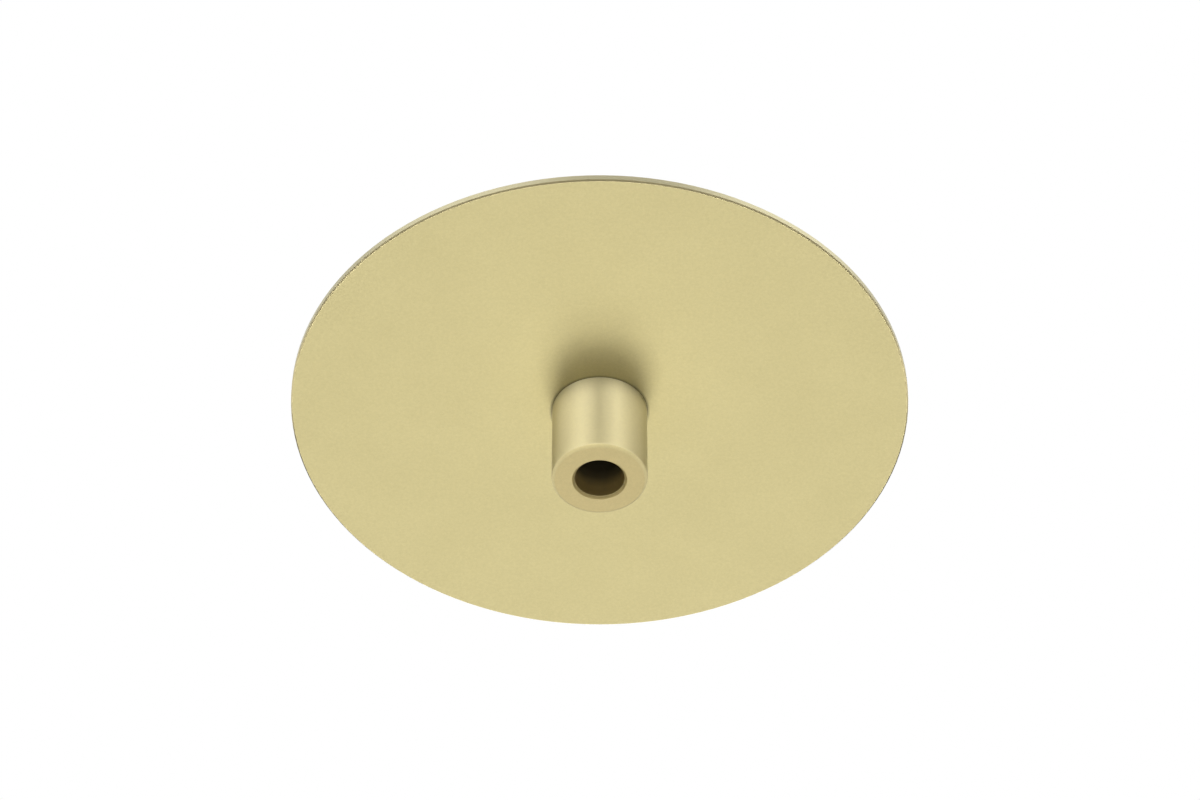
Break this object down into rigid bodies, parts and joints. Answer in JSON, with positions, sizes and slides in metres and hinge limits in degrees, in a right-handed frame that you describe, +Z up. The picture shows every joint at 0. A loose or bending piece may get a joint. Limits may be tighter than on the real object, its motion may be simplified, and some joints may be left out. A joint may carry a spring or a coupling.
{
  "type": "light fixture ceiling canopy",
  "caption": "Flat round ceiling canopy for a pendant light, held by a bored screw collar on a hollow nipple, with its recessed crossbar, locknut and box screws.",
  "frame": {"origin": "centre of the plate's ceiling side", "axes": "+Z up into the ceiling, along the nipple; +X along the crossbar; the collar hangs down along -Z"},
  "size_m": [0.13, 0.13, 0.0459],
  "materials": {
    "satin_brass": "fine blasted satin, pale gold",
    "plain_steel": "plain stainless",
    "zinc_steel": "bright zinc plated",
    "zinc_strap": "zinc plated strip",
    "green_screw": "green passivated",
    "black_nylon": "moulded nylon"
  },
  "bodies": {
    "root": {"canopy_plate": "satin_brass", "collar": "satin_brass", "collar_grub_screw": "plain_steel", "threaded_nipple": "zinc_steel", "nipple_bushing": "black_nylon", "locknut": "zinc_steel", "lock_washer": "zinc_steel", "crossbar": "zinc_strap", "ground_screw": "green_screw", "ground_cup_washer": "zinc_steel", "box_screw_left": "zinc_steel", "box_screw_right": "zinc_steel"}
  },
  "joints": []
}
